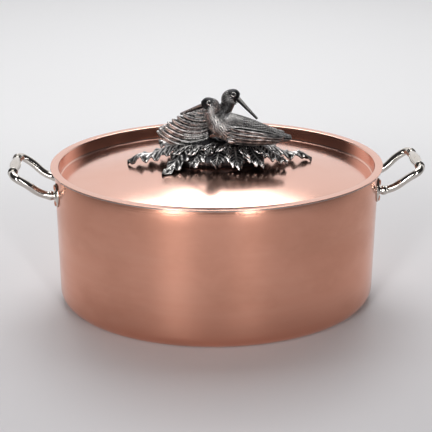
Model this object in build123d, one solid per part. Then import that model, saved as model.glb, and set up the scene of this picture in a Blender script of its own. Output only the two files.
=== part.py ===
from build123d import *
import math
import os

# Oval copper braising pot with a sunk, domed lid, two cast loop handles
# and a cast finial of two long-billed birds resting on curled leaves.
# Millimetres. X runs along the oval from handle to handle, Y runs across it,
# Z is up, and the origin is the middle of the underside.

# Pot: the oval is measured over the copper
HALF_LENGTH = 152.0
HALF_WIDTH = 117.0
POT_HEIGHT = 138.0
POT_SHEET = 2.0
POT_TIN = 0.4
CORNER_RADIUS = 15.0

# Lid: a flat flange on the rim, a skirt inside the pot and a domed plate
FLANGE_OVERHANG = 3.7
LID_SHEET = 1.0
LID_TIN = 0.3
LID_CLEARANCE = 0.4
RECESS_DEPTH = 12.2
DOME_RISE = 18.0

# Handles: a spindle grip between ring collars, on two legs with foot plates
HANDLE_REACH = 36.5
HANDLE_DROP = 21.0
GRIP_RISE = 21.0
FOOT_SPREAD = 24.0
LEG_RADIUS = 3.4
GRIP_HALF_LENGTH = 20.0
GRIP_RADIUS = 5.2
LEG_SINK = 1.0
BEND_SHARE = 0.55
BEND_SPREAD = 2.5
BEND_RISE = 5.0
CORNER_REACH = 5.0
CORNER_DROP = 2.0
CORNER_SPREAD = 29.0
COLLAR_RADIUS = 4.5
COLLAR_WIDTH = 1.8
COLLAR_GAP = 1.0
COLLAR_EDGE = 0.7
PLATE_HEIGHT = 24.0
PLATE_WIDTH = 15.0
PLATE_THICKNESS = 2.6
PLATE_DEPTH = 4.0
PLATE_CHAMFER = 1.0
KNUCKLE_RADIUS = 4.4
KNUCKLE_HEIGHT = 2.4

# Handle rivets: two to each foot plate, above and below the leg
RIVET_RADIUS = 1.7
RIVET_HEAD_RADIUS = 2.9
RIVET_HEAD_HEIGHT = 1.0
RIVET_SPREAD = 7.6
RIVET_SEAM_TURN = 30.0

# Finial: a leafy mound on the lid, held by two studs with washers and nuts
FINIAL_Y = -6.0
MOUND_HALF_LENGTH = 46.0
MOUND_HALF_WIDTH = 25.0
MOUND_HEIGHT = 21.0
SEAT_GAP = 0.1
WASHER_GAP = 0.2
LEAF_THICKNESS = 2.2
LEAF_NOTCH = 0.2
STUD_RADIUS = 2.5
STUD_SPREAD = 24.0
STUD_DEPTH = 7.0
STUD_HOLE_CLEARANCE = 0.15
WASHER_RADIUS = 7.0
WASHER_THICKNESS = 1.2
NUT_RADIUS = 5.0
NUT_HEIGHT = 5.0
STUD_TAIL = 1.5

# Leaves, as shares of the mound: root along and across it, direction in degrees,
# length and width as shares of its half length, lobes, rises of the underside as shares of its height
LEAVES = [
    (-0.74, 0.08, 176, 1.09, 0.52, 4, (0.43, 0.38, 0.15, 0.02, 0.10)),
    (-0.52, -0.32, 222, 0.78, 0.48, 3, (0.43, 0.38, 0.24, 0.02, 0.05)),
    (-0.09, -0.32, 262, 0.57, 0.48, 3, (0.48, 0.43, 0.28, 0.10, 0.02)),
    (0.35, -0.24, 285, 0.59, 0.65, 4, (0.48, 0.43, 0.28, 0.12, 0.02)),
    (0.74, -0.16, 318, 0.78, 0.52, 4, (0.48, 0.43, 0.28, 0.15, 0.02)),
    (0.74, 0.08, 4, 1.22, 0.43, 4, (0.53, 0.43, 0.20, 0.02, 0.10)),
    (0.43, 0.32, 60, 0.74, 0.52, 3, (0.43, 0.38, 0.24, 0.10, 0.02)),
    (-0.17, 0.40, 96, 0.65, 0.57, 3, (0.43, 0.38, 0.24, 0.10, 0.02)),
    (-0.65, 0.40, 142, 0.78, 0.52, 3, (0.43, 0.38, 0.28, 0.15, 0.15)),
]

# Birds: distance of each bird's middle from the finial's, wings proud of the body
FRONT_SPACING = -7.0
REAR_SPACING = 15.0
FRONT_WING_PROUD = 1.5
REAR_WING_PROUD = 1.8
NECK_RADIUS = 8.6
THROAT_RADIUS = 6.4
BILL_RADIUS = 2.4
BILL_TIP_RADIUS = 0.9
HEAD_LENGTH = 9.6
HEAD_WIDTH = 7.2
HEAD_HEIGHT = 8.0
HEAD_TILT = 18.0

# Body stations from breast to tail: along the pot, height over the rim, half width, half height
FRONT_STATIONS = [
    (-4.5, 44, 3.0, 4.5),
    (1.0, 41, 9.0, 10.5),
    (12.0, 38.5, 12.5, 14.0),
    (26.0, 35, 12.5, 12.8),
    (40.0, 31, 10.0, 9.8),
    (53.0, 28.5, 7.0, 5.6),
    (65.0, 28.5, 5.0, 2.0),
]
FRONT_HEAD = (-6.0, 58.5)
FRONT_BILL_TIP = (-34.0, 2.0, 47.5)
FRONT_WING_TOP = [(4.0, 40), (22.0, 43), (60.0, 30)]
FRONT_WING_EDGE = ((60.0, 24), (8.0, 27), 6, 1.6)

# The same for the rear bird, from tail to breast
REAR_STATIONS = [
    (-55.0, 27.5, 6.0, 2.2),
    (-44.0, 28.5, 9.5, 6.0),
    (-31.0, 30, 12.5, 10.8),
    (-16.0, 33, 13.0, 13.5),
    (-2.0, 37, 11.0, 13.0),
    (9.0, 41, 7.0, 8.5),
]
REAR_HEAD = (12.0, 61.0)
REAR_BILL_TIP = (38.0, 9.0, 38.5)
REAR_WING_TOP = [(-55.0, 32), (-20.0, 44), (2.0, 42)]
REAR_WING_EDGE = ((-4.0, 26), (-55.0, 23), 7, 1.8)

# Places worked out from the sizes above
RIM_Z = POT_HEIGHT
SKIRT_OFFSET = -POT_SHEET - POT_TIN - LID_CLEARANCE
PAN_OFFSET = SKIRT_OFFSET - LID_TIN
PLATE_OFFSET = PAN_OFFSET - LID_SHEET
FLANGE_BASE_Z = RIM_Z + LID_TIN
PLATE_EDGE_Z = RIM_Z - RECESS_DEPTH
FOOT_Z = RIM_Z - HANDLE_DROP
GRIP_X = HALF_LENGTH + HANDLE_REACH
GRIP_Z = FOOT_Z + GRIP_RISE


def oval(offset):
    """The pot's oval, made larger or smaller all round."""
    return Ellipse(HALF_LENGTH + offset, HALF_WIDTH + offset)


def oval_block(offset, low, high):
    """An upright oval block between two heights."""
    return extrude(Pos(0, 0, low) * oval(offset), amount=high - low)


def vessel(offset, low, high, radius):
    """An upright oval block whose bottom edge is rounded."""
    block = oval_block(offset, low, high)
    edge = block.edges().sort_by(Axis.Z)[0]
    return fillet(edge, radius)


def wall_point(y):
    """Where the pot's outer face lies on the +X side at a given Y."""
    return HALF_LENGTH * math.sqrt(1.0 - (y / HALF_WIDTH) ** 2)


def wall_turn(y):
    """The angle, in degrees, by which the wall faces away from +X at Y."""
    x = wall_point(y)
    return math.degrees(math.atan2(y / HALF_WIDTH**2, x / HALF_LENGTH**2))


def dome_radius():
    """The sphere radius of the domed plate along the oval's length."""
    reach = HALF_LENGTH + PAN_OFFSET
    return (reach**2 + DOME_RISE**2) / (2.0 * DOME_RISE)


def dome_z(x, y):
    """Height of the domed plate's top face at a point."""
    across = y * (HALF_LENGTH + PAN_OFFSET) / (HALF_WIDTH + PAN_OFFSET)
    radius = dome_radius()
    fall = radius - math.sqrt(radius**2 - x**2 - across**2)
    return PLATE_EDGE_Z + DOME_RISE - fall


def dome_shell(offset, top, thickness):
    """A domed oval plate with its top face raised or lowered by top."""
    reach = HALF_LENGTH + offset
    radius = dome_radius()
    edge = dome_z(reach, 0) + top
    crown = PLATE_EDGE_Z + DOME_RISE + top
    middle = reach / 2
    middle_z = crown - radius + math.sqrt(radius**2 - middle**2)
    upper = ThreePointArc((0, 0, crown), (middle, 0, middle_z), (reach, 0, edge))
    rim = Line((reach, 0, edge), (reach, 0, edge - thickness))
    lower = ThreePointArc(
        (reach, 0, edge - thickness),
        (middle, 0, middle_z - thickness),
        (0, 0, crown - thickness),
    )
    axis = Line((0, 0, crown - thickness), (0, 0, crown))
    profile = make_face([upper, rim, lower, axis])
    disc = revolve(profile, Axis.Z)
    return scale(disc, by=(1, (HALF_WIDTH + offset) / reach, 1))


def make_pot_body():
    """The copper vessel."""
    outer = vessel(0, 0, POT_HEIGHT, CORNER_RADIUS)
    inner = vessel(-POT_SHEET, POT_SHEET, POT_HEIGHT, CORNER_RADIUS - POT_SHEET)
    return outer - inner


def make_pot_lining():
    """The tin coat over the whole inside of the vessel."""
    outer = vessel(-POT_SHEET, POT_SHEET, POT_HEIGHT, CORNER_RADIUS - POT_SHEET)
    coat = POT_SHEET + POT_TIN
    return outer - vessel(-coat, coat, POT_HEIGHT, CORNER_RADIUS - coat)


def make_lid_pan():
    """Flange, skirt and domed plate of the copper lid."""
    flange = oval_block(FLANGE_OVERHANG, FLANGE_BASE_Z, FLANGE_BASE_Z + LID_SHEET)
    skirt = oval_block(PAN_OFFSET, PLATE_EDGE_Z - LID_SHEET, FLANGE_BASE_Z)
    skirt -= dome_shell(PAN_OFFSET, -LID_SHEET, 5 * LID_SHEET)
    hollow = oval_block(PLATE_OFFSET, PLATE_EDGE_Z - 2 * LID_SHEET, RIM_Z + 2 * LID_SHEET)
    plate = dome_shell(PAN_OFFSET, 0, LID_SHEET)
    return flange + skirt - hollow + plate


def make_lid_lining():
    """The tin coat under the flange, round the skirt and under the plate."""
    low = PLATE_EDGE_Z - LID_SHEET - LID_TIN
    under_flange = oval_block(FLANGE_OVERHANG, RIM_Z, FLANGE_BASE_Z)
    round_skirt = oval_block(SKIRT_OFFSET, low, RIM_Z)
    room = oval_block(PAN_OFFSET, low - 1, FLANGE_BASE_Z + 1)
    under_plate = dome_shell(PAN_OFFSET, -LID_SHEET, LID_TIN)
    return under_flange + round_skirt - room + under_plate


def stud_places():
    """Each stud stands square to the dome, one to each side of the middle."""
    places = []
    across = (HALF_LENGTH + PAN_OFFSET) / (HALF_WIDTH + PAN_OFFSET)
    lean_y = math.degrees(math.asin(FINIAL_Y * across**2 / dome_radius()))
    for side in (-1, 1):
        x = side * STUD_SPREAD
        lean_x = math.degrees(math.asin(x / dome_radius()))
        foot = Pos(x, FINIAL_Y, dome_z(x, FINIAL_Y))
        places.append(foot * Rot(0, lean_x, 0) * Rot(-lean_y, 0, 0))
    return places


def stud_hole():
    """The clearance hole that a stud passes through in the lid."""
    return Cylinder(STUD_RADIUS + STUD_HOLE_CLEARANCE, 2 * STUD_DEPTH)


def make_handle_leg(side):
    """One swept leg from its foot on the wall to the end of the grip."""
    foot_x = wall_point(FOOT_SPREAD) - LEG_SINK
    corner_x = GRIP_X - CORNER_REACH
    bend_x = foot_x + BEND_SHARE * (corner_x - foot_x)
    points = [
        (foot_x, side * FOOT_SPREAD, FOOT_Z),
        (bend_x, side * (FOOT_SPREAD + BEND_SPREAD), FOOT_Z + BEND_RISE),
        (corner_x, side * CORNER_SPREAD, GRIP_Z - CORNER_DROP),
        (GRIP_X, side * GRIP_HALF_LENGTH, GRIP_Z),
    ]
    path = Spline(points, tangents=[(1, 0, -0.1), (0, -side, 0)])
    section = Plane(path @ 0, z_dir=path % 0) * Circle(LEG_RADIUS)
    return sweep(section, path)


def make_grip():
    """The spindle grip, turned about a line along Y."""
    half = GRIP_HALF_LENGTH
    bulge = ThreePointArc((LEG_RADIUS, -half), (GRIP_RADIUS, 0), (LEG_RADIUS, half))
    ends = Polyline((LEG_RADIUS, half), (0, half), (0, -half), (LEG_RADIUS, -half))
    grip = revolve(make_face([bulge, ends]), Axis.Y)
    for side in (-1, 1):
        for row in (0, 1):
            y = side * (half - row * (COLLAR_WIDTH + COLLAR_GAP))
            ring = Cylinder(COLLAR_RADIUS, COLLAR_WIDTH, rotation=(90, 0, 0))
            rounded = fillet(ring.edges().filter_by(GeomType.CIRCLE), COLLAR_EDGE)
            grip += Pos(0, y, 0) * rounded
    return Pos(GRIP_X, 0, GRIP_Z) * grip


def plate_place(side):
    """The foot plate's place: on the wall, facing square out of it."""
    y = side * FOOT_SPREAD
    turn = wall_turn(y)
    return Pos(wall_point(y), y, FOOT_Z) * Rot(0, 0, turn) * Rot(0, 90, 0)


def make_foot_plate(side):
    """A pointed oval plate, bulged outwards and hollowed to fit the wall."""
    tip = PLATE_HEIGHT / 2
    flank = PLATE_WIDTH / 2
    left = ThreePointArc((-tip, 0), (0, flank), (tip, 0))
    right = ThreePointArc((tip, 0), (0, -flank), (-tip, 0))
    outline = make_face([left, right])
    slab = extrude(Pos(0, 0, -PLATE_DEPTH) * outline, amount=PLATE_DEPTH + PLATE_THICKNESS)
    crown = chamfer(slab.edges().group_by(Axis.Z)[-1], PLATE_CHAMFER)
    knuckle = Pos(0, 0, PLATE_THICKNESS) * Cylinder(KNUCKLE_RADIUS, KNUCKLE_HEIGHT)
    return plate_place(side) * (crown + knuckle)


def rivet_holes(side):
    """Pins along the two rivet lines of one foot plate, through plate, wall and lining.

    Each pin is turned so that its seam line stays clear of the wall's level and upright lines.
    """
    reach = 2 * (PLATE_THICKNESS + POT_SHEET)
    pins = []
    for step in (-1, 1):
        pin = Rot(0, 0, RIVET_SEAM_TURN) * Cylinder(RIVET_RADIUS, 2 * reach)
        pins.append(plate_place(side) * Pos(step * RIVET_SPREAD, 0, 0) * pin)
    return pins


def make_handle(wall):
    """The cast handle on the +X side, as one solid."""
    handle = make_grip()
    for side in (-1, 1):
        handle += make_handle_leg(side)
        handle += make_foot_plate(side)
    handle -= wall
    for side in (-1, 1):
        for pin in rivet_holes(side):
            handle -= pin
    return handle


def make_rivets():
    """Four rivets for the handle on the +X side, filed flush inside the pot."""
    rivets = []
    inside = -POT_SHEET - POT_TIN
    for side in (-1, 1):
        for step in (-1, 1):
            shank = extrude(
                Pos(0, 0, inside) * Circle(RIVET_RADIUS),
                amount=PLATE_THICKNESS - inside,
            )
            head = Pos(0, 0, PLATE_THICKNESS) * rivet_head()
            rivet = shank + head
            rivets.append(plate_place(side) * Pos(step * RIVET_SPREAD, 0, 0) * rivet)
    return rivets


def rivet_head():
    """A low domed rivet head standing on its flat face."""
    height = RIVET_HEAD_HEIGHT
    radius = RIVET_HEAD_RADIUS
    ball = (radius**2 + height**2) / (2 * height)
    dome = Pos(0, 0, height - ball) * Sphere(ball)
    return dome & extrude(Circle(radius), amount=height)


def mirror_x(shape):
    """The same piece on the other side of the pot."""
    return mirror(shape, Plane.YZ)


def leaf_outline(length, width, lobes):
    """A pointed leaf outline with a lobed edge, laid along +X."""
    count = 4 * lobes
    upper = []
    for step in range(1, count):
        t = step / count
        swell = math.sin(math.pi * t**0.75) ** 0.8
        notch = 1.0 - LEAF_NOTCH + LEAF_NOTCH * abs(math.sin(math.pi * lobes * t))
        upper.append((length * t, width / 2 * swell * notch))
    lower = [(x, -y) for x, y in reversed(upper)]
    return make_face(Polyline((0, 0), *upper, (length, 0), *lower, close=True))


def leaf_band(heights, length, width):
    """A bent strip as wide as the leaf; heights are of its underside along it."""
    steps = len(heights) - 1
    under = [(length * i / steps, z) for i, z in enumerate(heights)]
    top = [(x, z + LEAF_THICKNESS) for x, z in reversed(under)]
    edge = [Spline(*under), Line(under[-1], top[0]), Spline(*top), Line(top[-1], under[0])]
    side = Plane.XZ * make_face(edge)
    return extrude(side, amount=width / 2, both=True)


def make_leaf(along, across, turn, length_share, width_share, lobes, lift):
    """One curled leaf from the mound outwards, its underside following the dome."""
    x = along * MOUND_HALF_LENGTH
    y = FINIAL_Y + across * MOUND_HALF_WIDTH
    length = length_share * MOUND_HALF_LENGTH
    width = width_share * MOUND_HALF_LENGTH
    heights = []
    for step, rise in enumerate(lift):
        reach = length * step / (len(lift) - 1)
        px = x + reach * math.cos(math.radians(turn))
        py = y + reach * math.sin(math.radians(turn))
        heights.append(dome_z(px, py) + SEAT_GAP + rise * MOUND_HEIGHT)
    outline = leaf_outline(length, width, lobes)
    blade = leaf_band(heights, length, width) & extrude(outline, amount=2 * RIM_Z, both=True)
    return Pos(x, y, 0) * Rot(0, 0, turn) * blade


def make_mound():
    """The low oval mound under the birds, its underside following the dome."""
    long = MOUND_HALF_LENGTH
    wide = MOUND_HALF_WIDTH
    base = dome_z(0, FINIAL_Y)
    ball = Pos(0, FINIAL_Y, base) * scale(Sphere(1), by=(long, wide, MOUND_HEIGHT))
    return ball - dome_shell(PAN_OFFSET, SEAT_GAP, 3 * MOUND_HEIGHT)


def make_finial_base():
    """Mound and leaves as one casting, drilled for the two studs."""
    base = make_mound()
    for leaf in LEAVES:
        base += make_leaf(*leaf)
    base -= dome_shell(PAN_OFFSET, SEAT_GAP, 3 * LEAF_THICKNESS)
    for place in stud_places():
        base -= place * Cylinder(STUD_RADIUS, 2 * STUD_DEPTH)
    return base


def body_loft(stations, y, proud=0.0):
    """A smooth body through upright ovals, swollen all round by proud."""
    sections = []
    for x, rise, half_width, half_height in stations:
        station = Plane((x, y, RIM_Z + rise), x_dir=(0, 1, 0), z_dir=(1, 0, 0))
        sections.append(station * Ellipse(half_width + proud, half_height + proud))
    return loft(sections)


def rod_loft(start, end, start_radius, end_radius):
    """A straight tapering rod between two points."""
    direction = Vector(*end) - Vector(*start)
    near = Plane(start, z_dir=direction) * Circle(start_radius)
    far = Plane(end, z_dir=direction) * Circle(end_radius)
    return loft([near, far])


def feather_edge(start, end, count, depth):
    """Points of a scalloped wing edge from one point to another."""
    (x0, z0), (x1, z1) = start, end
    length = math.hypot(x1 - x0, z1 - z0)
    nx, nz = (z1 - z0) / length, -(x1 - x0) / length
    points = [start]
    for step in range(count):
        for share, out in ((0.35, depth), (1.0, 0.0)):
            t = (step + share) / count
            points.append((x0 + t * (x1 - x0) + out * nx, z0 + t * (z1 - z0) + out * nz))
    return points


def make_wings(stations, y, top, edge, proud):
    """Both folded wings: the part of a swollen body inside the wing's side outline."""
    outline = [(x, RIM_Z + z) for x, z in top + feather_edge(*edge)]
    side = Plane.XZ * make_face(Polyline(*outline, close=True))
    return body_loft(stations, y, proud) & extrude(side, amount=HALF_WIDTH, both=True)


def make_bird(stations, y, head, bill_tip, facing):
    """Body, neck, head and straight bill of one bird; facing is +1 or -1 along X."""
    head_x = head[0]
    head_z = RIM_Z + head[1]
    breast = stations[-1] if facing > 0 else stations[0]
    neck_root = (breast[0] - facing * THROAT_RADIUS, y, RIM_Z + breast[1])
    bird = body_loft(stations, y)
    bird += rod_loft(neck_root, (head_x, y, head_z), NECK_RADIUS, THROAT_RADIUS)
    skull = scale(Sphere(1), by=(HEAD_LENGTH, HEAD_WIDTH, HEAD_HEIGHT))
    bird += Pos(head_x, y, head_z) * Rot(0, facing * HEAD_TILT, 0) * skull
    bill_root = (head_x + facing * THROAT_RADIUS, y, head_z - BILL_RADIUS / 2)
    tip_x, tip_y, tip_rise = bill_tip
    bird += rod_loft(bill_root, (tip_x, tip_y, RIM_Z + tip_rise), BILL_RADIUS, BILL_TIP_RADIUS)
    return bird


def make_front_bird():
    """The front bird, facing -X."""
    y = FINIAL_Y + FRONT_SPACING
    bird = make_bird(FRONT_STATIONS, y, FRONT_HEAD, FRONT_BILL_TIP, -1)
    return bird + make_wings(FRONT_STATIONS, y, FRONT_WING_TOP, FRONT_WING_EDGE, FRONT_WING_PROUD)


def make_rear_bird():
    """The rear bird, facing +X."""
    y = FINIAL_Y + REAR_SPACING
    bird = make_bird(REAR_STATIONS, y, REAR_HEAD, REAR_BILL_TIP, 1)
    return bird + make_wings(REAR_STATIONS, y, REAR_WING_TOP, REAR_WING_EDGE, REAR_WING_PROUD)


def largest(shape):
    """The main solid of a cut piece, without loose slivers."""
    return sorted(shape.solids(), key=lambda s: s.volume)[-1]


def make_studs():
    """Two threaded studs, drawn as plain rods."""
    low = -LID_SHEET - LID_TIN - WASHER_GAP - WASHER_THICKNESS - NUT_HEIGHT - STUD_TAIL
    rod = extrude(Pos(0, 0, low) * Circle(STUD_RADIUS), amount=STUD_DEPTH - low)
    return [place * rod for place in stud_places()]


def make_washers():
    """A washer round each stud under the lid."""
    ring = Circle(WASHER_RADIUS) - Circle(STUD_RADIUS + STUD_HOLE_CLEARANCE)
    low = -LID_SHEET - LID_TIN - WASHER_GAP - WASHER_THICKNESS
    washer = extrude(Pos(0, 0, low) * ring, amount=WASHER_THICKNESS)
    return [place * washer for place in stud_places()]


def make_nuts():
    """A six-sided nut on each stud under its washer."""
    section = RegularPolygon(NUT_RADIUS, 6) - Circle(STUD_RADIUS)
    low = -LID_SHEET - LID_TIN - WASHER_GAP - WASHER_THICKNESS - NUT_HEIGHT
    nut = extrude(Pos(0, 0, low) * section, amount=NUT_HEIGHT)
    return [place * nut for place in stud_places()]


def make_parts():
    """Every named piece of the pot and its lid."""
    wall = vessel(0, 0, POT_HEIGHT, CORNER_RADIUS)
    pot_body = make_pot_body()
    pot_lining = make_pot_lining()
    pins = rivet_holes(-1) + rivet_holes(1)
    pins += [mirror_x(pin) for pin in pins]
    for pin in pins:
        pot_body -= pin
        pot_lining -= pin
    right_handle = make_handle(wall)
    rivets = make_rivets()
    lid_pan = make_lid_pan()
    lid_lining = make_lid_lining()
    for place in stud_places():
        lid_pan -= place * stud_hole()
        lid_lining -= place * stud_hole()
    finial_base = make_finial_base()
    front_bird = largest(make_front_bird() - finial_base)
    rear_bird = largest(make_rear_bird() - finial_base - front_bird)
    return {
        "pot_body": pot_body,
        "pot_lining": pot_lining,
        "right_handle": right_handle,
        "left_handle": mirror_x(right_handle),
        "right_handle_rivets": Compound(children=rivets),
        "left_handle_rivets": Compound(children=[mirror_x(rivet) for rivet in rivets]),
        "lid_pan": lid_pan,
        "lid_lining": lid_lining,
        "finial_leaf_base": finial_base,
        "front_bird": front_bird,
        "rear_bird": rear_bird,
        "finial_studs": Compound(children=make_studs()),
        "finial_washers": Compound(children=make_washers()),
        "finial_nuts": Compound(children=make_nuts()),
    }


os.makedirs("parts", exist_ok=True)
for name, piece in make_parts().items():
    export_step(piece, f"parts/{name}.step")
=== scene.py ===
"""Looks of an oval copper braising pot with cast handles and a lid finial of two long-billed birds."""

import math

import bmesh
import bpy
from mathutils import Matrix, Vector, noise


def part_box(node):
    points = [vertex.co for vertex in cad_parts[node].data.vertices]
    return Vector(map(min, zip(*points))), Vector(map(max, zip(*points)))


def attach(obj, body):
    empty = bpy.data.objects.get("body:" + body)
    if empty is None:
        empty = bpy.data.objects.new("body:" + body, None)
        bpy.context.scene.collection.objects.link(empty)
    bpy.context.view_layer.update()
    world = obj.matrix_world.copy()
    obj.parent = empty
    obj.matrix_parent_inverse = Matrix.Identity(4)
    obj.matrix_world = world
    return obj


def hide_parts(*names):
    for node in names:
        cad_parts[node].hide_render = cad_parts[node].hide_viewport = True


bl_info = {
    "name": "Copper Braising Pot",
    "version": (1, 0, 0),
    "blender": (4, 5, 0),
    "location": "View3D > Sidebar > Braising Pot",
    "description": "Builds the finished look of an oval copper braising pot over its fixed frame",
    "category": "Object",
}

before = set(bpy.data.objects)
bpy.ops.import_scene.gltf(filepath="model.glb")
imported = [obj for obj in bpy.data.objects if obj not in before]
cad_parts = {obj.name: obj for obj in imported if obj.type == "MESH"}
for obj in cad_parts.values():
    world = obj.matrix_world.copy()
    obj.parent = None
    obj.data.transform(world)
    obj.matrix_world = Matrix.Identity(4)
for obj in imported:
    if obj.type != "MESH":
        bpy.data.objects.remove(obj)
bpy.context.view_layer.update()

# Sizes read from the frame, in metres
POT_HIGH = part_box("pot_body")[1]
LINING_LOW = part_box("pot_lining")[0]
PAN_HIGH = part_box("lid_pan")[1]
GRIP_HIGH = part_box("right_handle")[1]
MM = 0.001
HALF_LENGTH = POT_HIGH[0]
HALF_WIDTH = POT_HIGH[1]
RIM_Z = POT_HIGH[2]
SHEET = LINING_LOW[2]
OVERHANG = PAN_HIGH[0] - HALF_LENGTH


def smooth_step(low, high, value):
    """0 below low, 1 above high, with a soft turn between."""
    share = min(1.0, max(0.0, (value - low) / (high - low)))
    return share * share * (3.0 - 2.0 * share)


def blend(start, end, share):
    """The value a share of the way from start to end."""
    return start + (end - start) * share


def shares(count):
    """Even shares from 0 to 1, in count steps."""
    return [step / count for step in range(count + 1)]


def turns(count):
    """Even angles round a full turn."""
    return [2.0 * math.pi * step / count for step in range(count)]


def square_to(vector, along):
    """The part of a vector that is square to a unit direction, made one long."""
    return (vector - along * vector.dot(along)).normalized()


def curve_value(stations, place):
    """Catmull-Rom value of evenly spaced stations at place, from 0 to 1."""
    last = len(stations) - 1
    spot = min(max(place, 0.0), 1.0) * last
    index = min(int(spot), last - 1)
    share = spot - index
    p0 = stations[max(index - 1, 0)]
    p1 = stations[index]
    p2 = stations[index + 1]
    p3 = stations[min(index + 2, last)]
    values = []
    for a, b, c, d in zip(p0, p1, p2, p3):
        values.append(
            b
            + 0.5 * share * (c - a)
            + share * share * (a - 2.5 * b + 2.0 * c - 0.5 * d)
            + share**3 * (1.5 * (b - c) + 0.5 * (d - a))
        )
    return values


def link_object(obj):
    """Puts an object in the scene."""
    bpy.context.scene.collection.objects.link(obj)


def mesh_object(name, points, faces, material, relief=None):
    """A smooth-shaded mesh object with an optional relief value for each point."""
    mesh = bpy.data.meshes.new(name)
    mesh.from_pydata([tuple(p) for p in points], [], faces)
    mesh.validate()
    mesh.shade_smooth()
    if relief is not None:
        layer = mesh.attributes.new("relief", "FLOAT", "POINT")
        layer.data.foreach_set("value", relief)
    mesh.materials.append(material)
    obj = bpy.data.objects.new(name, mesh)
    link_object(obj)
    return obj


def oval_shell(name, profile, segments, material):
    """A closed shell turned about Z on the pot's oval.

    Each profile entry is (offset from the pot's outer oval, height, share of the way out from the middle).
    A share of 0 closes the shell at a pole.
    """
    points = []
    rings = []
    for offset, height, share in profile:
        if share == 0.0:
            rings.append((len(points), 1))
            points.append((0.0, 0.0, height))
            continue
        rings.append((len(points), segments))
        for angle in turns(segments):
            x = share * (HALF_LENGTH + offset) * math.cos(angle)
            y = share * (HALF_WIDTH + offset) * math.sin(angle)
            points.append((x, y, height))
    faces = []
    count = len(rings)
    closed = profile[0][2] != 0.0
    for index in range(count if closed else count - 1):
        low, low_size = rings[index]
        high, high_size = rings[(index + 1) % count]
        if low_size == high_size:
            ring_faces(faces, low, high, segments)
            continue
        for step in range(segments):
            after = (step + 1) % segments
            if low_size == 1:
                faces.append((low, high + after, high + step))
            else:
                faces.append((low + step, low + after, high))
    obj = mesh_object(name, points, faces, material)
    recalculate(obj)
    return obj


def ring_faces(faces, low, high, sides):
    """Faces between two rings of points that start at indices low and high."""
    for step in range(sides):
        after = (step + 1) % sides
        faces.append((low + step, low + after, high + after, high + step))


def close_sheet(faces, start, rows, columns):
    """Faces of a two-sided grid sheet with a rim; the second layer follows the first in the points."""
    stride = columns + 1
    sheet = (rows + 1) * stride
    for layer in (0, 1):
        for row in range(rows):
            for column in range(columns):
                a = start + layer * sheet + row * stride + column
                quad = (a, a + 1, a + stride + 1, a + stride)
                faces.append(quad[::-1] if layer == 0 else quad)
    border = [row * stride for row in range(rows + 1)]
    border += [rows * stride + column for column in range(1, columns + 1)]
    border += [row * stride + columns for row in range(rows - 1, -1, -1)]
    border += [column for column in range(columns - 1, 0, -1)]
    for one, two in zip(border, border[1:] + border[:1]):
        faces.append((start + one, start + two, start + sheet + two, start + sheet + one))


def close_rings(form, first, sides):
    """Faces and end caps of a tube whose rings are all the points from first on."""
    last = len(form.points) - sides
    for low in range(first, last, sides):
        ring_faces(form.faces, low, low + sides, sides)
    form.faces.append(tuple(range(first + sides - 1, first - 1, -1)))
    form.faces.append(tuple(range(last, last + sides)))


def recalculate(obj):
    """Turns every face of a closed mesh outwards."""
    work = bmesh.new()
    work.from_mesh(obj.data)
    bmesh.ops.recalc_face_normals(work, faces=work.faces)
    work.to_mesh(obj.data)
    work.free()


class Form:
    """Points, faces and relief values that grow into one mesh."""

    def __init__(self):
        self.points = []
        self.faces = []
        self.relief = []

    def fill(self, value):
        """Gives every point that has no relief yet the same value."""
        self.relief += [value] * (len(self.points) - len(self.relief))

    def obj(self, name, material):
        """The form as a mesh object."""
        return mesh_object(name, self.points, self.faces, material, self.relief or None)


def arc_points(centre_offset, centre_z, radius, start, end, steps):
    """Profile points on an arc, angles in degrees from straight outwards."""
    points = []
    for share in shares(steps):
        angle = math.radians(blend(start, end, share))
        offset = centre_offset + radius * math.cos(angle)
        points.append((offset, centre_z + radius * math.sin(angle), 1.0))
    return points


def wire_math(operation, swapped=False):
    """A Python operator that adds a Math node to the wire's tree."""

    def combine(wire, other):
        first, second = (other, wire) if swapped else (wire, other)
        return wire.kit.add("Math", {"operation": operation}, {0: first, 1: second})

    return combine


class Wire:
    """A shader socket that takes part in Python sums."""

    def __init__(self, kit, socket):
        self.kit = kit
        self.socket = socket

    __add__ = wire_math("ADD")
    __radd__ = wire_math("ADD", True)
    __sub__ = wire_math("SUBTRACT")
    __rsub__ = wire_math("SUBTRACT", True)
    __mul__ = wire_math("MULTIPLY")
    __rmul__ = wire_math("MULTIPLY", True)


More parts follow.
